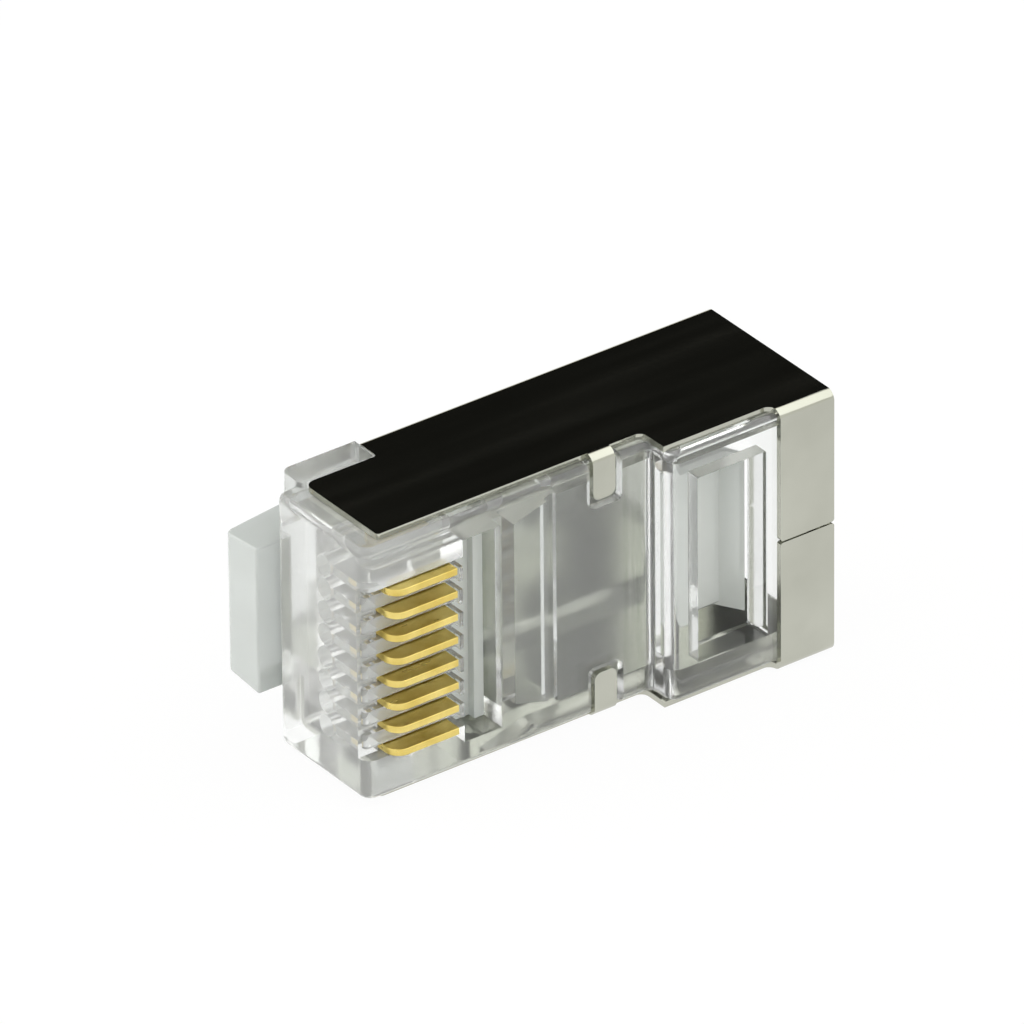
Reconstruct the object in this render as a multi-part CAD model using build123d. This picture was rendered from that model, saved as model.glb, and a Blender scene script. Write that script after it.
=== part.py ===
from build123d import *
import math
import os

# Shielded modular plug with eight contacts, in millimetres.
# X runs from the nose to the cable end, Y from the contact side to the latch side, Z across the width.
# The plug lies on one of its two lateral plates, as a plug set down on its side does.

# Outside of the plug
plug_width = 11.68
plug_length = 21.40
front_height = 6.60
rear_rise = 1.54
step_x = 13.70
mid_z = plug_width / 2

# Shield sheet
sheet = 0.25
bend_radius = 0.42
inner_bend = bend_radius - sheet
plate_front_x = 1.20
plate_edge_y = 0.50
plate_rear_edge = 0.65
tongue_edge_y = 5.22
tongue_corner = 0.45
wall_front_x = 4.62
flap_length = 2.58
flap_seam = 0.08
flap_corner = 0.12
tab_x = 11.62
tab_width = 1.05
tab_reach = 1.72
tab_sink = 0.10
tab_corner = 0.32
sheet_fillet = 0.35

# Housing walls and edges
nose_x = 0.20
nose_radius = 0.55
edge_radius = 0.34
body_radius = 0.50
step_radius = 0.30
plate_corner = 0.15
housing_setback = 0.25
side_wall = 0.95
latch_wall = 0.62
contact_wall = 0.85
thick_wall = 1.30
nose_drop = 0.50
ledge_x = 1.08
ledge_width = 2.35
ledge_radius = 0.42
fit_gap = 0.02
mouth_bevel = 0.40
root_depth = 2.30
root_slack = 0.25

# Contacts and the comb that guides them
contact_count = 8
pitch = 1.016
blade_thickness = 0.30
blade_x = 1.20
blade_length = 3.05
blade_stand = 0.47
blade_height = 2.07
blade_corner = 0.65
prong_count = 2
prong_width = 0.80
prong_height = 0.78
slot_clearance = 0.05
slot_end_gap = 0.08
fin_recess = 0.32
fin_front_x = 0.38
fin_corner = 0.18
comb_end_x = 4.65
nose_slot_y = 0.55

# Wire channels, the flat passage behind them, and the cable cavity with its tapered front end
channel_radius = 0.46
channel_y = 2.95
channel_start_x = 0.90
taper_start_x = 7.55
taper_end_x = 9.60
rib_x = 9.12
rib_length = 0.42
rib_height = 0.45

# Wire clamp and its window
wire_window_x = 4.83
wire_window_length = 1.77
wire_window_width = 9.00
wire_clamp_gap = 0.10
wire_clamp_depth = 1.00
wire_clamp_sink = 1.40
wire_clamp_heel = 0.15
wire_clamp_tip = 0.50
wire_clamp_lip = 0.45
wire_clamp_rise = 0.36

# Cable clamp and its window
cable_window_x = 15.04
cable_window_length = 3.34
cable_window_width = 8.30
window_corner = 0.10
cable_clamp_gap = 0.12
cable_clamp_sink = 2.22
cable_clamp_depth = 0.60
cable_clamp_rise = 0.92
cable_clamp_ramp = 0.55
cable_clamp_heel = 0.30
cable_clamp_end = 0.55
cable_clamp_bevel = 0.20

# Latch
latch_width = 6.10
latch_front = 0.60
latch_gap = 0.06
latch_block = 2.10
latch_draft = 0.20
latch_axis_x = 1.10
latch_shoulder_x = 8.40
latch_end_x = 14.60
latch_tail_width = 3.30
latch_arm = 1.55
latch_tail = 1.20
latch_travel = 9.0
latch_corner = 0.45
latch_edge = 0.12
latch_bevel = 0.10
latch_rest_gap = 0.10

# Places worked out from the sizes above
rear_y = -rear_rise
shield_face_y = front_height
housing_rear_y = rear_y + sheet + fit_gap
housing_back_y = front_height - sheet - fit_gap
housing_length = plug_length - housing_setback
nose_back_y = housing_back_y - nose_drop
low_z = sheet + fit_gap
high_z = plug_width - low_z
flap_x = plug_length - flap_length
thick_edge_y = rear_y + plate_rear_edge
slot_width = blade_thickness + 2 * slot_clearance
comb_half = (contact_count - 1) * pitch / 2 + slot_width / 2
channels_half = (contact_count - 1) * pitch / 2 + channel_radius
blade_end_x = blade_x + blade_length
blade_top_y = blade_height - blade_stand
cavity_half = mid_z - low_z - side_wall
cavity_floor_y = housing_back_y - latch_wall
cavity_roof_y = contact_wall
thick_roof_y = housing_rear_y + thick_wall
tail_rise = math.tan(math.radians(latch_travel))
latch_root_y = nose_back_y + latch_gap
latch_clear_y = shield_face_y + latch_rest_gap
latch_top_y = latch_clear_y + (latch_end_x - latch_axis_x) * tail_rise + latch_tail

# The origin is at the bottom centre of the whole plug's box
origin_x = (plug_length - latch_front) / 2
origin_y = (rear_y + latch_top_y) / 2


def rounded(corners):
    # A closed outline from corners given as x, y and corner radius
    face = make_face(Polyline(*[(x, y) for x, y, radius in corners], close=True))
    for x, y, radius in corners:
        if radius > 0:
            face = fillet(face.vertices().sort_by_distance((x, y, 0))[0], radius)
    return face


def slab(outline, z0, z1):
    # An outline in X and Y, raised from z0 to z1
    return Pos(0, 0, z0) * extrude(outline, z1 - z0)


def block(x0, x1, y0, y1, z0, z1):
    return Pos((x0 + x1) / 2, (y0 + y1) / 2, (z0 + z1) / 2) * Box(x1 - x0, y1 - y0, z1 - z0)


def contact_z(index):
    return mid_z + (index - (contact_count - 1) / 2) * pitch


def mirrored(solid):
    # The same form on the other lateral side
    return solid.mirror(Plane.XY.offset(mid_z))


def housing_body():
    # Side view of the moulding, with the step up to the thick cable end
    outline = rounded([
        (nose_x, 0, nose_radius),
        (step_x, 0, step_radius),
        (step_x, housing_rear_y, body_radius),
        (housing_length, housing_rear_y, 0),
        (housing_length, housing_back_y, 0),
        (ledge_x, housing_back_y, 0),
        (ledge_x, nose_back_y, 0),
        (nose_x, nose_back_y, nose_radius),
    ])
    body = slab(outline, low_z, high_z)
    sides = body.edges().filter_by(Plane.XY)
    nose_rim = sides.filter_by(lambda edge: edge.center().X < nose_x + nose_radius)
    contact_rim = sides.filter_by(lambda edge: edge.center().Y < body_radius)
    body = fillet(ShapeList(set(nose_rim + contact_rim)), edge_radius)
    latch_rim = body.edges().filter_by(Axis.X).group_by(Axis.Y)[-1]
    return fillet(latch_rim, inner_bend + fit_gap)


def ledge():
    # Raised corner in front of the shield, flush with its outer faces
    outline = rounded([
        (ledge_x, tongue_edge_y + fit_gap, ledge_radius),
        (wall_front_x - fit_gap, tongue_edge_y + fit_gap, 0),
        (wall_front_x - fit_gap, shield_face_y, 0),
        (ledge_x, shield_face_y, ledge_radius),
    ])
    return slab(outline, 0, ledge_width)


def latch_recess():
    # Room for the latch's root between the two ledges
    half = latch_width / 2 + root_slack
    return block(-1, root_depth, nose_back_y, shield_face_y + 1, mid_z - half, mid_z + half)


def comb_recess():
    # The fins stand a little below the contact face and the nose
    block_face = block(-1, comb_end_x, -1, fin_recess, mid_z - comb_half, mid_z + comb_half)
    nose_face = block(-1, fin_front_x, -1, nose_slot_y, mid_z - comb_half, mid_z + comb_half)
    recess = block_face + nose_face
    inner = recess.edges().filter_by(Axis.Z)
    corner = inner.sort_by_distance((fin_front_x, fin_recess, mid_z))[0]
    return fillet(corner, fin_corner)


def contact_slot(index):
    # Deep slot for the blade, open to the wire window, with a shallow front part that opens on the nose
    z = contact_z(index)
    z0 = z - slot_width / 2
    z1 = z + slot_width / 2
    deep = block(blade_x - slot_end_gap, wire_window_x + fit_gap, -1, channel_y, z0, z1)
    front = slab(rounded([
        (-1, -1, 0),
        (blade_x, -1, 0),
        (blade_x, nose_slot_y, 0),
        (-1, nose_slot_y, 0),
    ]), z0, z1)
    return deep + front


def wire_channel(index):
    length = wire_window_x + wire_clamp_gap - channel_start_x
    bore = Cylinder(channel_radius, length, align=(Align.CENTER, Align.CENTER, Align.MIN))
    return Pos(channel_start_x, channel_y, contact_z(index)) * Rot(0, 90, 0) * bore


def wire_passage():
    # Flat way under the wire clamp, from the channels to the cable cavity
    return block(wire_window_x, taper_start_x + fit_gap, channel_y - channel_radius, channel_y + channel_radius,
                 mid_z - channels_half, mid_z + channels_half)


def rectangle_at(x, y0, y1, half_width):
    # A rectangle square to X, centred on the plug's width
    centre = Plane(origin=(x, (y0 + y1) / 2, mid_z), x_dir=(0, 1, 0), z_dir=(1, 0, 0))
    return centre * Rectangle(y1 - y0, 2 * half_width)


def cable_cavity():
    front = rectangle_at(taper_start_x, cavity_roof_y, cavity_floor_y, channels_half)
    full = rectangle_at(taper_end_x, cavity_roof_y, cavity_floor_y, cavity_half)
    taper = loft([front, full], ruled=True)
    inner_end = rectangle_at(housing_length - mouth_bevel, thick_roof_y, cavity_floor_y, cavity_half)
    outer_end = rectangle_at(housing_length, thick_roof_y - mouth_bevel,
                             cavity_floor_y + mouth_bevel / 2, cavity_half + mouth_bevel)
    lead_in = loft([inner_end, outer_end], ruled=True)
    bed = block(taper_end_x, housing_length + 1, cavity_roof_y, cavity_floor_y,
                mid_z - cavity_half, mid_z + cavity_half)
    throat_x = cable_window_x - thick_wall / 2
    throat = block(throat_x, housing_length + 1, thick_roof_y, cavity_floor_y,
                   mid_z - cavity_half, mid_z + cavity_half)
    return taper + bed + throat + lead_in


def roof_rib():
    # Bar across the cavity's roof that stiffens the thin contact wall
    half = mid_z - low_z - side_wall / 2
    return block(rib_x, rib_x + rib_length, cavity_roof_y - contact_wall / 2,
                 cavity_roof_y + rib_height, mid_z - half, mid_z + half)


def wire_window():
    half = wire_window_width / 2
    outline = rounded([
        (wire_window_x, -1, 0),
        (wire_window_x + wire_window_length, -1, 0),
        (wire_window_x + wire_window_length, channel_y, 0),
        (wire_window_x, channel_y, 0),
    ])
    return slab(outline, mid_z - half, mid_z + half)


def cable_window():
    half = cable_window_width / 2
    window = block(cable_window_x, cable_window_x + cable_window_length,
                   housing_rear_y - 1, thick_roof_y + 1, mid_z - half, mid_z + half)
    return fillet(window.edges().filter_by(Axis.Y), window_corner)


def tab_notch():
    half = tab_width / 2 + root_slack
    notch = block(tab_x - half, tab_x + half, -1, tab_sink + sheet + fit_gap,
                  high_z - tab_reach - root_slack, plug_width + 1)
    return fillet(notch.edges().filter_by(Axis.Y).group_by(Axis.Z)[0], root_slack)


def is_notch_lip(edge):
    # The housing's edges that the bent ears of the shield pass over
    middle = edge.center()
    on_floor = abs(middle.Y - (tab_sink + sheet + fit_gap)) < fit_gap
    on_side = min(middle.Z - low_z, high_z - middle.Z) < fit_gap
    return on_floor and on_side and abs(middle.X - tab_x) < tab_width


def housing():
    body = housing_body()
    body += ledge() + mirrored(ledge())
    body -= latch_recess()
    body -= comb_recess()
    for index in range(contact_count):
        body -= contact_slot(index)
        body -= wire_channel(index)
    body -= wire_passage()
    body -= cable_cavity()
    body += roof_rib()
    body -= wire_window()
    body -= cable_window()
    body -= tab_notch() + mirrored(tab_notch())
    notch_lips = body.edges().filter_by(Axis.X).filter_by(is_notch_lip)
    return fillet(notch_lips, inner_bend + fit_gap)


def side_plate():
    # Flat pattern of one lateral plate, with the tongue, the step and the arm of the flap
    outline = rounded([
        (plate_front_x, plate_edge_y, plate_corner),
        (step_x, plate_edge_y, sheet_fillet),
        (step_x, thick_edge_y, 0),
        (flap_x, thick_edge_y, sheet_fillet),
        (flap_x, rear_y, 0),
        (plug_length, rear_y, 0),
        (plug_length, shield_face_y, 0),
        (wall_front_x, shield_face_y, 0),
        (wall_front_x, tongue_edge_y, plate_corner),
        (plate_front_x, tongue_edge_y, tongue_corner),
    ])
    return slab(outline, 0, sheet)


def side_tab():
    # Ear bent over the edge of the housing and pressed into its notch
    x0 = tab_x - tab_width / 2
    x1 = tab_x + tab_width / 2
    neck = block(x0, x1, tab_sink, plate_edge_y + sheet_fillet, 0, sheet)
    leg = block(x0, x1, tab_sink, tab_sink + sheet, 0, sheet + tab_reach)
    ends = leg.edges().filter_by(Axis.Y).group_by(Axis.Z)[-1]
    ear = neck + fillet(ends, tab_corner)
    return bend(ear, (tab_x, tab_sink, 0), (tab_x, tab_sink + sheet, sheet))


def bend(solid, outer_point, inner_point):
    # Rounds a folded corner outside and inside
    edges = solid.edges().filter_by(Axis.X)
    solid = fillet(edges.sort_by_distance(outer_point)[0], bend_radius)
    edges = solid.edges().filter_by(Axis.X)
    return fillet(edges.sort_by_distance(inner_point)[0], inner_bend)


def flap():
    # Half of the cable end's outer face, which meets its twin in a seam
    arm = block(flap_x, plug_length, rear_y, rear_y + sheet, 0, mid_z - flap_seam / 2)
    return fillet(arm.edges().filter_by(Axis.Y).group_by(Axis.Z)[-1], flap_corner)


def shield():
    half = side_plate() + flap()
    middle_x = (flap_x + plug_length) / 2
    half = bend(half, (middle_x, rear_y, 0), (middle_x, rear_y + sheet, sheet))
    half += side_tab()
    wall = block(wall_front_x, plug_length, shield_face_y - sheet, shield_face_y, 0, mid_z)
    half += wall
    middle_x = (wall_front_x + plug_length) / 2
    half = bend(half, (middle_x, shield_face_y, 0), (middle_x, shield_face_y - sheet, sheet))
    return half + mirrored(half)


def contact(index):
    # Flat blade, rounded where the mating spring first meets it, with piercing prongs below
    corners = [
        (blade_x, -blade_stand, blade_corner),
        (blade_end_x, -blade_stand, 0),
        (blade_end_x, blade_top_y, 0),
    ]
    step = blade_length / prong_count
    for prong in reversed(range(prong_count)):
        centre = blade_x + step * (prong + 0.5)
        corners.append((centre + prong_width / 2, blade_top_y, 0))
        corners.append((centre, blade_top_y + prong_height, 0))
        corners.append((centre - prong_width / 2, blade_top_y, 0))
    corners.append((blade_x, blade_top_y, 0))
    z = contact_z(index)
    return slab(rounded(corners), z - blade_thickness / 2, z + blade_thickness / 2)


def wire_clamp():
    # Bar that the crimping tool presses down on the eight wires
    half = wire_window_width / 2 - wire_clamp_gap
    x0 = wire_window_x + wire_clamp_gap
    x1 = wire_window_x + wire_window_length - wire_clamp_gap
    y0 = wire_clamp_sink
    y1 = wire_clamp_sink + wire_clamp_depth
    outline = rounded([
        (x0, y0, 0),
        (x1 - wire_clamp_lip, y0, 0),
        (x1 - wire_clamp_lip, y0 - wire_clamp_rise, 0),
        (x1, y0 - wire_clamp_rise, 0),
        (x1, y0 + wire_clamp_heel, 0),
        (x0 + wire_clamp_tip, y1, 0),
        (x0, y1, 0),
    ])
    return slab(outline, mid_z - half, mid_z + half)


def cable_clamp():
    # Bar that is pressed down on the cable's jacket, with a ramp that rises to its web and bevelled ends
    half = cable_window_width / 2 - cable_clamp_end
    x0 = cable_window_x + cable_clamp_gap
    x1 = cable_window_x + cable_window_length - cable_clamp_gap
    y0 = housing_rear_y + cable_clamp_sink
    y1 = y0 + cable_clamp_depth
    outline = rounded([
        (x0, y0, 0),
        (x1 - cable_clamp_ramp, y0, 0),
        (x1, y0 - cable_clamp_rise, 0),
        (x1, y0 - cable_clamp_rise + cable_clamp_heel, 0),
        (x1 - cable_clamp_ramp, y1, 0),
        (x0, y1, 0),
    ])
    bar = slab(outline, mid_z - half, mid_z + half)
    ends = bar.edges().filter_by(Axis.X).group_by(Axis.Y)[0].filter_by(GeomType.LINE)
    return chamfer(ends, cable_clamp_bevel)


def latch_under(x):
    # Height of the arm's underside, which meets the shield when the latch is pressed home
    return latch_clear_y + (x - latch_axis_x) * tail_rise


def latch_taper():
    # The arm's sides lean inwards away from the root, as the mould needs
    root_half = latch_width / 2 + latch_draft
    top_half = root_half - latch_draft * (latch_top_y - latch_root_y) / latch_block
    section = make_face(Polyline(
        (latch_root_y, root_half),
        (latch_top_y, top_half),
        (latch_top_y, -top_half),
        (latch_root_y, -root_half),
        close=True))
    front = Plane(origin=(-latch_front - 1, 0, mid_z), x_dir=(0, 1, 0), z_dir=(1, 0, 0))
    return extrude(front * section, latch_end_x + 2)


def latch():
    # Root block in front, rising arm, locking shoulders and narrow finger tail
    z0 = mid_z - latch_width / 2 - latch_draft
    z1 = mid_z + latch_width / 2 + latch_draft
    throat_x = root_depth
    throat_y = latch_under(throat_x)
    shoulder_under = latch_under(latch_shoulder_x)
    outline = rounded([
        (-latch_front, latch_root_y, latch_edge),
        (latch_axis_x, latch_root_y, 0),
        (throat_x, throat_y, latch_corner),
        (latch_shoulder_x, shoulder_under, 0),
        (latch_shoulder_x, shoulder_under + latch_arm, 0),
        (-latch_front, latch_root_y + latch_block, latch_corner),
    ])
    arm = slab(outline, z0, z1) & latch_taper()
    sides = arm.faces().filter_by(lambda face: abs(face.normal_at().Z) > 0.9)
    arm = fillet(sides.edges(), latch_bevel)
    tail_outline = rounded([
        (throat_x, throat_y, 0),
        (latch_end_x, latch_under(latch_end_x), 0),
        (latch_end_x, latch_top_y, 0),
        (throat_x, throat_y + latch_tail, 0),
    ])
    tail = slab(tail_outline, mid_z - latch_tail_width / 2, mid_z + latch_tail_width / 2)
    return arm + tail


def write(name, solid):
    placed = Pos(-origin_x, -origin_y, 0) * solid
    export_step(placed, os.path.join("parts", name + ".step"))


def main():
    os.makedirs("parts", exist_ok=True)
    write("housing", housing())
    write("shield", shield())
    for index in range(contact_count):
        write("contact_" + str(index + 1), contact(index))
    write("wire_clamp", wire_clamp())
    write("cable_clamp", cable_clamp())
    write("latch", latch())


main()
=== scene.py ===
import math

import bmesh
import bpy
from mathutils import Matrix, Vector


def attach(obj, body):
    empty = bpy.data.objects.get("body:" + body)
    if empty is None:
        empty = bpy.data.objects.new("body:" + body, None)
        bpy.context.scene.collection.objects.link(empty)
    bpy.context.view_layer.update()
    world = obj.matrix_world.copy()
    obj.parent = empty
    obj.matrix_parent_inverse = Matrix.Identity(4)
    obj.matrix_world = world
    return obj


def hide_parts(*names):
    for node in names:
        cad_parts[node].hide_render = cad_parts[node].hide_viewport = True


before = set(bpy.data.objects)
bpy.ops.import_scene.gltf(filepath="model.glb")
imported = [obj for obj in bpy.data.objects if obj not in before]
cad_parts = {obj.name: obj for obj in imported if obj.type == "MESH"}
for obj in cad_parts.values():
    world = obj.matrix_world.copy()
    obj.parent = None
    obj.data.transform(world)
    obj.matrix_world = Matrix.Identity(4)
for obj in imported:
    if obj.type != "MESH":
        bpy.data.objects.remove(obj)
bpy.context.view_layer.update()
scene = bpy.context.scene


# A noise pattern keeps mostly between these two values
patternLow = 0.3
patternHigh = 0.7


def newMaterial(name):
    # A material with one shader on its surface, and nothing set yet
    material = bpy.data.materials.new(name)
    material.use_nodes = True
    tree = material.node_tree
    tree.nodes.clear()
    shader = tree.nodes.new("ShaderNodeBsdfPrincipled")
    output = tree.nodes.new("ShaderNodeOutputMaterial")
    tree.links.new(shader.outputs["BSDF"], output.inputs["Surface"])
    return material, tree, shader


def place(tree, scale=(1, 1, 1)):
    # Object coordinates, stretched so that a pattern can run along the piece
    coords = tree.nodes.new("ShaderNodeTexCoord")
    mapping = tree.nodes.new("ShaderNodeMapping")
    mapping.inputs["Scale"].default_value = scale
    tree.links.new(coords.outputs["Object"], mapping.inputs["Vector"])
    return mapping.outputs["Vector"]


def noise(tree, vector, scale, detail=3):
    texture = tree.nodes.new("ShaderNodeTexNoise")
    texture.inputs["Scale"].default_value = scale
    texture.inputs["Detail"].default_value = detail
    tree.links.new(vector, texture.inputs["Vector"])
    return texture.outputs["Fac"]


def spread(tree, value, low, high, fromLow=patternLow, fromHigh=patternHigh):
    # Turns a pattern's value into a range of numbers
    remap = tree.nodes.new("ShaderNodeMapRange")
    remap.inputs["From Min"].default_value = fromLow
    remap.inputs["From Max"].default_value = fromHigh
    remap.inputs["To Min"].default_value = low
    remap.inputs["To Max"].default_value = high
    tree.links.new(value, remap.inputs["Value"])
    return remap.outputs["Result"]


def tint(tree, value, dark, light):
    # Turns a pattern's value into a colour between two colours
    ramp = tree.nodes.new("ShaderNodeValToRGB")
    ramp.color_ramp.elements[0].color = (*dark, 1)
    ramp.color_ramp.elements[1].color = (*light, 1)
    ramp.color_ramp.elements[0].position = patternLow
    ramp.color_ramp.elements[1].position = patternHigh
    tree.links.new(value, ramp.inputs["Fac"])
    return ramp.outputs["Color"]


def relief(tree, value, depth):
    # A bump of the given depth in metres
    bump = tree.nodes.new("ShaderNodeBump")
    bump.inputs["Distance"].default_value = depth
    tree.links.new(value, bump.inputs["Height"])
    return bump.outputs["Normal"]


# Clear moulded polycarbonate: the body, made less clear and whiter round the comb of fins as painted light,
# and the hazier latch and clamp bars.
# The cloud and the grain are counts of waves per metre.
clearPlastic = {
    "bend": 1.586,
    "tintDark": (0.955, 0.970, 0.960),
    "tintLight": (0.985, 0.995, 0.990),
    "polish": 0.05,
    "haze": 0.09,
    "clearness": 0.95,
    # Painted light: from here to the nose the body is made less clear and hazier, so that it shows whiter
    "paintedLightClearness": 0.77,
    "paintedLightHaze": 0.035,
    "paintedLightFrom": -0.0052,
    "paintedLightTo": -0.0072,
    "cloudScale": 140,
    "grainScale": 900,
    "waveDepth": 0.0000008,
}
latchPlastic = {
    "bend": 1.586,
    "tintDark": (0.81, 0.845, 0.835),
    "tintLight": (0.89, 0.925, 0.915),
    "polish": 0.12,
    "haze": 0.22,
    "clearness": 0.45,
    "cloudScale": 140,
    "grainScale": 900,
    "waveDepth": 0.0000012,
}
clampPlastic = {
    "bend": 1.586,
    "tintDark": (0.86, 0.90, 0.88),
    "tintLight": (0.93, 0.96, 0.94),
    "polish": 0.10,
    "haze": 0.16,
    "clearness": 0.30,
    "cloudScale": 140,
    "grainScale": 900,
    "waveDepth": 0.0000012,
}


def makePlastic(name, sizes):
    material, tree, shader = newMaterial(name)
    vector = place(tree)
    cloud = noise(tree, vector, sizes["cloudScale"])
    grain = noise(tree, vector, sizes["grainScale"], detail=4)
    tree.links.new(tint(tree, cloud, sizes["tintDark"], sizes["tintLight"]), shader.inputs["Base Color"])
    roughness = spread(tree, grain, sizes["polish"], sizes["haze"])
    tree.links.new(relief(tree, cloud, sizes["waveDepth"]), shader.inputs["Normal"])
    shader.inputs["IOR"].default_value = sizes["bend"]
    shader.inputs["Transmission Weight"].default_value = sizes["clearness"]
    if "paintedLightFrom" in sizes:
        # Towards the nose the plastic is made less clear and hazier, so that its white base shows: painted
        # light for the brighter nose
        along = tree.nodes.new("ShaderNodeSeparateXYZ")
        tree.links.new(vector, along.inputs["Vector"])
        clearness = spread(tree, along.outputs["X"], sizes["paintedLightClearness"], sizes["clearness"],
                           sizes["paintedLightTo"], sizes["paintedLightFrom"])
        tree.links.new(clearness, shader.inputs["Transmission Weight"])
        extra = spread(tree, along.outputs["X"], sizes["paintedLightHaze"], 0, sizes["paintedLightTo"], sizes["paintedLightFrom"])
        total = tree.nodes.new("ShaderNodeMath")
        total.operation = "ADD"
        tree.links.new(roughness, total.inputs[0])
        tree.links.new(extra, total.inputs[1])
        roughness = total.outputs[0]
    tree.links.new(roughness, shader.inputs["Roughness"])
    return material


# Nickel plating on the folded shield, with faint lines along the rolled sheet
nickelPlating = {
    "dark": (0.455, 0.46, 0.395),
    "light": (0.535, 0.54, 0.47),
    "smooth": 0.10,
    "rough": 0.17,
    "lineScale": (60, 900, 900),
    "stainScale": 220,
    "lineDepth": 0.0000006,
}


def makeNickel(sizes):
    material, tree, shader = newMaterial("nickelPlatedSheet")
    rolled = noise(tree, place(tree, sizes["lineScale"]), 1, detail=5)
    stain = noise(tree, place(tree), sizes["stainScale"], detail=4)
    tree.links.new(tint(tree, stain, sizes["dark"], sizes["light"]), shader.inputs["Base Color"])
    tree.links.new(spread(tree, rolled, sizes["smooth"], sizes["rough"]), shader.inputs["Roughness"])
    tree.links.new(relief(tree, rolled, sizes["lineDepth"]), shader.inputs["Normal"])
    shader.inputs["Metallic"].default_value = 1.0
    return material


# Gold flash on the stamped blades, with fine lines along the strip
goldPlating = {
    "dark": (0.72, 0.54, 0.13),
    "light": (0.92, 0.75, 0.26),
    "smooth": 0.26,
    "rough": 0.42,
    "lineScale": (500, 2500, 2500),
    "stainScale": 900,
    "lineDepth": 0.0000015,
}


def makeGold(sizes):
    material, tree, shader = newMaterial("goldPlatedBlade")
    drawn = noise(tree, place(tree, sizes["lineScale"]), 1, detail=5)
    stain = noise(tree, place(tree), sizes["stainScale"], detail=4)
    tree.links.new(tint(tree, stain, sizes["dark"], sizes["light"]), shader.inputs["Base Color"])
    tree.links.new(spread(tree, drawn, sizes["smooth"], sizes["rough"]), shader.inputs["Roughness"])
    tree.links.new(relief(tree, drawn, sizes["lineDepth"]), shader.inputs["Normal"])
    shader.inputs["Metallic"].default_value = 1.0
    return material


bodyMaterial = makePlastic("clearPolycarbonate", clearPlastic)
latchMaterial = makePlastic("hazyPolycarbonate", latchPlastic)
clampMaterial = makePlastic("frostedPolycarbonate", clampPlastic)
nickelMaterial = makeNickel(nickelPlating)
goldMaterial = makeGold(goldPlating)
print("Materials made")


def dress(nodeName, material):
    # Gives a node of the frame its finish
    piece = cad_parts[nodeName]
    piece.data.materials.clear()
    piece.data.materials.append(material)


dress("housing", bodyMaterial)
dress("latch", latchMaterial)
dress("wire_clamp", clampMaterial)
dress("cable_clamp", clampMaterial)
print("Plastic nodes dressed")


# The cut edges of the sheet and the blades are softened a little, so that they catch the light.
# The edges round the shield's two ears stay sharp, because the bend there leaves no room for it.
softEdges = {
    "shieldEdge": 0.00005,
    "bladeEdge": 0.00003,
    "rounds": 3,
    "joinWithin": 0.000001,
    "flatWithin": 0.5,
    "longestEdge": 0.0003,
    "sharperThan": 40,
    "earMiddle": 0.00122,
    "earReach": 0.00095,
    "flatWeight": 100,
}


def mergedCopy(nodeName, newName):
    # A node's mesh in an object of its own, joined up, with short smooth edges and a mark on those to soften
    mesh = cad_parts[nodeName].data.copy()
    mesh.name = newName
    work = bmesh.new()
    work.from_mesh(mesh)
    bmesh.ops.remove_doubles(work, verts=work.verts, dist=softEdges["joinWithin"])
    bmesh.ops.dissolve_limit(work, verts=work.verts, edges=work.edges,
                             angle_limit=math.radians(softEdges["flatWithin"]))
    for edge in list(work.edges):
        cuts = int(edge.calc_length() / softEdges["longestEdge"])
        if cuts:
            bmesh.ops.bisect_edges(work, edges=[edge], cuts=cuts)
    for face in work.faces:
        face.smooth = True
    weights = work.edges.layers.float.new("bevel_weight_edge")
    for edge in work.edges:
        middle = (edge.verts[0].co + edge.verts[1].co) / 2
        isSharp = edge.calc_face_angle(0) > math.radians(softEdges["sharperThan"])
        isAtEar = abs(middle.x - softEdges["earMiddle"]) < softEdges["earReach"]
        edge[weights] = 1.0 if isSharp and not isAtEar else 0.0
        edge.smooth = not (isSharp and isAtEar)
    work.to_mesh(mesh)
    work.free()
    if "custom_normal" in mesh.attributes:
        mesh.attributes.remove(mesh.attributes["custom_normal"])
    piece = bpy.data.objects.new(newName, mesh)
    scene.collection.objects.link(piece)
    return piece


def makePlain(piece):
    # Turns what the modifiers give into the piece's own mesh
    graph = bpy.context.evaluated_depsgraph_get()
    finished = piece.evaluated_get(graph)
    plain = bpy.data.meshes.new_from_object(finished, preserve_all_data_layers=True, depsgraph=graph)
    piece.modifiers.clear()
    plain.name = piece.name
    piece.data = plain


def softenEdges(piece, width):
    bevel = piece.modifiers.new("soften", "BEVEL")
    bevel.width = width
    bevel.segments = softEdges["rounds"]
    bevel.limit_method = "WEIGHT"
    flatten = piece.modifiers.new("flatten", "WEIGHTED_NORMAL")
    flatten.weight = softEdges["flatWeight"]
    flatten.keep_sharp = True
    makePlain(piece)


def makeShield():
    sheet = mergedCopy("shield", "platedShield")
    softenEdges(sheet, softEdges["shieldEdge"])
    sheet.data.materials.clear()
    sheet.data.materials.append(nickelMaterial)
    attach(sheet, "plug")
    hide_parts("shield")


# The eight blades are one stamping, set out at the pitch of the slots
bladeRow = {
    "count": 8,
    "pitch": 0.001016,
}


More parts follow.
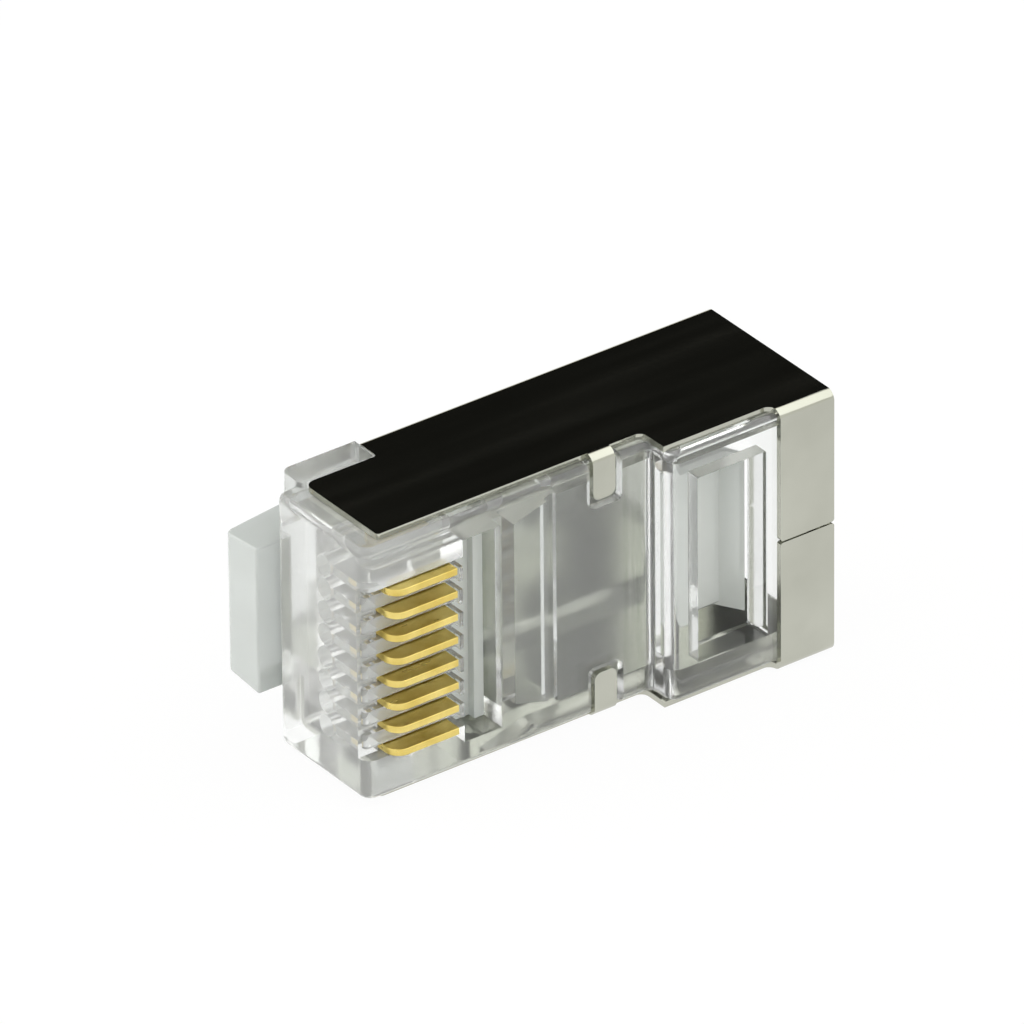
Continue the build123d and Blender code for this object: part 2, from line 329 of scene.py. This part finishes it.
def makeBladeTree():
    # Stands a blade at its place in the row and plates it
    tree = bpy.data.node_groups.new("bladeAtPlace", "GeometryNodeTree")
    face = tree.interface
    face.new_socket("Geometry", in_out="INPUT", socket_type="NodeSocketGeometry")
    face.new_socket("Blade", in_out="INPUT", socket_type="NodeSocketObject")
    face.new_socket("Place", in_out="INPUT", socket_type="NodeSocketInt")
    face.new_socket("Pitch", in_out="INPUT", socket_type="NodeSocketFloat")
    face.new_socket("Plating", in_out="INPUT", socket_type="NodeSocketMaterial")
    face.new_socket("Geometry", in_out="OUTPUT", socket_type="NodeSocketGeometry")
    given = tree.nodes.new("NodeGroupInput")
    result = tree.nodes.new("NodeGroupOutput")
    blade = tree.nodes.new("GeometryNodeObjectInfo")
    away = tree.nodes.new("ShaderNodeMath")
    away.operation = "MULTIPLY"
    start = tree.nodes.new("ShaderNodeCombineXYZ")
    spot = tree.nodes.new("GeometryNodeMeshLine")
    spot.inputs["Count"].default_value = 1
    stand = tree.nodes.new("GeometryNodeInstanceOnPoints")
    solid = tree.nodes.new("GeometryNodeRealizeInstances")
    plated = tree.nodes.new("GeometryNodeSetMaterial")
    tree.links.new(given.outputs["Blade"], blade.inputs["Object"])
    tree.links.new(given.outputs["Place"], away.inputs[0])
    tree.links.new(given.outputs["Pitch"], away.inputs[1])
    tree.links.new(away.outputs[0], start.inputs["Z"])
    tree.links.new(start.outputs["Vector"], spot.inputs["Start Location"])
    tree.links.new(spot.outputs["Mesh"], stand.inputs["Points"])
    tree.links.new(blade.outputs["Geometry"], stand.inputs["Instance"])
    tree.links.new(stand.outputs["Instances"], solid.inputs["Geometry"])
    tree.links.new(solid.outputs["Geometry"], plated.inputs["Geometry"])
    tree.links.new(given.outputs["Plating"], plated.inputs["Material"])
    tree.links.new(plated.outputs["Geometry"], result.inputs["Geometry"])
    return tree


def makeBlades(sizes):
    stamping = mergedCopy("contact_1", "bladeStamping")
    softenEdges(stamping, softEdges["bladeEdge"])
    tree = makeBladeTree()
    sockets = {item.name: item.identifier for item in tree.interface.items_tree if item.in_out == "INPUT"}
    blades = []
    for index in range(sizes["count"]):
        name = "platedBlade" + str(index + 1)
        blade = bpy.data.objects.new(name, bpy.data.meshes.new(name))
        scene.collection.objects.link(blade)
        row = blade.modifiers.new("bladeAtPlace", "NODES")
        row.node_group = tree
        row[sockets["Blade"]] = stamping
        row[sockets["Place"]] = index
        row[sockets["Pitch"]] = sizes["pitch"]
        row[sockets["Plating"]] = goldMaterial
        makePlain(blade)
        blades.append(blade)
    bpy.data.objects.remove(stamping)
    for index, blade in enumerate(blades):
        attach(blade, "contact_" + str(index + 1))
        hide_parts("contact_" + str(index + 1))


makeShield()
makeBlades(bladeRow)
print("Shield and blades finished")


# Studio: a pale table inside a light tent, with a dark opening behind and above the plug
studio = {
    "tableSize": 1.2,
    "tableColour": (0.92, 0.92, 0.91),
    "tableRoughness": 0.9,
    "tableShadow": 0.05,
    "tentColour": (0.96, 0.96, 0.92),
    "rimColour": (0.80, 0.70, 0.52),
    "openingColour": (0.010, 0.010, 0.009),
    "openingTowards": (0.506, 0.691, 0.517),
    "tentStops": (0.865, 0.89, 0.92),
}


def makeTable(sizes):
    # The table shows as almost pure white, straight on and in or through the plug, and keeps a faint shadow
    half = sizes["tableSize"] / 2
    mesh = bpy.data.meshes.new("table")
    corners = [(-half, -half, 0), (half, -half, 0), (half, half, 0), (-half, half, 0)]
    mesh.from_pydata(corners, [], [(0, 1, 2, 3)])
    table = bpy.data.objects.new("table", mesh)
    scene.collection.objects.link(table)
    material, tree, shader = newMaterial("paleTable")
    shader.inputs["Base Color"].default_value = (*sizes["tableColour"], 1)
    shader.inputs["Roughness"].default_value = sizes["tableRoughness"]
    glow = tree.nodes.new("ShaderNodeEmission")
    path = tree.nodes.new("ShaderNodeLightPath")
    seen = tree.nodes.new("ShaderNodeMath")
    seen.operation = "MAXIMUM"
    tree.links.new(path.outputs["Is Camera Ray"], seen.inputs[0])
    tree.links.new(path.outputs["Is Glossy Ray"], seen.inputs[1])
    seenToo = tree.nodes.new("ShaderNodeMath")
    seenToo.operation = "MAXIMUM"
    tree.links.new(seen.outputs[0], seenToo.inputs[0])
    tree.links.new(path.outputs["Is Transmission Ray"], seenToo.inputs[1])
    share = tree.nodes.new("ShaderNodeMath")
    share.operation = "MULTIPLY"
    share.inputs[1].default_value = 1 - sizes["tableShadow"]
    tree.links.new(seenToo.outputs[0], share.inputs[0])
    mix = tree.nodes.new("ShaderNodeMixShader")
    tree.links.new(share.outputs[0], mix.inputs["Fac"])
    tree.links.new(shader.outputs["BSDF"], mix.inputs[1])
    tree.links.new(glow.outputs["Emission"], mix.inputs[2])
    tree.links.new(mix.outputs["Shader"], tree.nodes["Material Output"].inputs["Surface"])
    mesh.materials.append(material)


def makeTent(sizes):
    # Plain to the camera; everything else meets the pale tent, the opening's rim and the dark opening
    world = bpy.data.worlds.new("lightTent")
    scene.world = world
    world.use_nodes = True
    tree = world.node_tree
    tree.nodes.clear()
    output = tree.nodes.new("ShaderNodeOutputWorld")
    coords = tree.nodes.new("ShaderNodeTexCoord")
    nearness = tree.nodes.new("ShaderNodeVectorMath")
    nearness.operation = "DOT_PRODUCT"
    nearness.inputs[1].default_value = Vector(sizes["openingTowards"]).normalized()
    tree.links.new(coords.outputs["Generated"], nearness.inputs[0])
    ramp = tree.nodes.new("ShaderNodeValToRGB")
    stops = ramp.color_ramp.elements
    stops.new(0.5)
    colours = (sizes["tentColour"], sizes["rimColour"], sizes["openingColour"])
    for stop, position, colour in zip(stops, sizes["tentStops"], colours):
        stop.position = position
        stop.color = (*colour, 1)
    tree.links.new(nearness.outputs["Value"], ramp.inputs["Fac"])
    tent = tree.nodes.new("ShaderNodeBackground")
    tree.links.new(ramp.outputs["Color"], tent.inputs["Color"])
    plain = tree.nodes.new("ShaderNodeBackground")
    path = tree.nodes.new("ShaderNodeLightPath")
    mix = tree.nodes.new("ShaderNodeMixShader")
    tree.links.new(path.outputs["Is Camera Ray"], mix.inputs["Fac"])
    tree.links.new(tent.outputs["Background"], mix.inputs[1])
    tree.links.new(plain.outputs["Background"], mix.inputs[2])
    tree.links.new(mix.outputs["Shader"], output.inputs["Surface"])


# Three large soft lamps turned to the middle of the plug, all away from what the upper plate mirrors
lampAim = (0, 0, 0.006)
softBoxes = {
    "overhead": {"towards": (0.506, -0.25, 0.82), "along": (0, 0.96, 0.27),
                 "far": 0.30, "wide": 0.50, "high": 0.30, "watts": 0.42},
    "back": {"towards": (-0.50, 0.69, 0.52), "along": (0.7, 0, 0.7),
             "far": 0.36, "wide": 0.36, "high": 0.30, "watts": 0.24},
    "left": {"towards": (-0.80, 0.25, 0.55), "along": (0.25, 0.80, 0),
             "far": 0.40, "wide": 0.40, "high": 0.32, "watts": 0.24},
}


def makeSoftBox(name, sizes):
    lamp = bpy.data.lights.new(name, "AREA")
    lamp.shape = "RECTANGLE"
    lamp.size = sizes["wide"]
    lamp.size_y = sizes["high"]
    lamp.energy = sizes["watts"]
    box = bpy.data.objects.new(name, lamp)
    direction = Vector(sizes["towards"]).normalized()
    along = Vector(sizes["along"])
    along = (along - along.dot(direction) * direction).normalized()
    turned = Matrix((along, direction.cross(along), direction)).transposed().to_4x4()
    box.matrix_world = Matrix.Translation(Vector(lampAim) + direction * sizes["far"]) @ turned
    scene.collection.objects.link(box)


makeTable(studio)
makeTent(studio)
for boxName, boxSizes in softBoxes.items():
    makeSoftBox(boxName + "SoftBox", boxSizes)
print("Studio made")


# Long lens above the nose and the contact side, as the photograph was taken
cameraView = {
    "azimuth": -36.19724,
    "elevation": 31.10321,
    "roll": -0.57317,
    "away": 0.7009176,
    "sideways": -0.00104508,
    "upwards": 0.00141812,
    "aim": (0.00077, -0.0005291, 0.00584),
    "lens": 642.0,
    "sensor": 36.0,
    "seesFrom": 0.05,
    "seesTo": 5,
}
lightBounces = {
    "all": 32,
    "transmission": 32,
    "glossy": 16,
}


def makeCamera(sizes):
    turn = math.radians(sizes["azimuth"])
    rise = math.radians(sizes["elevation"])
    roll = math.radians(sizes["roll"])
    back = Vector((math.sin(turn) * math.cos(rise), -math.cos(turn) * math.cos(rise), math.sin(rise)))
    level = Vector((math.cos(turn), math.sin(turn), 0))
    over = back.cross(level)
    right = math.cos(roll) * level + math.sin(roll) * over
    up = math.cos(roll) * over - math.sin(roll) * level
    lens = bpy.data.cameras.new("longLens")
    lens.lens = sizes["lens"]
    lens.sensor_width = sizes["sensor"]
    lens.clip_start = sizes["seesFrom"]
    lens.clip_end = sizes["seesTo"]
    camera = bpy.data.objects.new("longLens", lens)
    spot = Vector(sizes["aim"]) + sizes["sideways"] * right + sizes["upwards"] * up + sizes["away"] * back
    turned = Matrix((right, up, back)).transposed().to_4x4()
    camera.matrix_world = Matrix.Translation(spot) @ turned
    scene.collection.objects.link(camera)
    scene.camera = camera


makeCamera(cameraView)
scene.view_settings.view_transform = "Standard"
scene.cycles.max_bounces = lightBounces["all"]
scene.cycles.transmission_bounces = lightBounces["transmission"]
scene.cycles.glossy_bounces = lightBounces["glossy"]
print("Camera made")
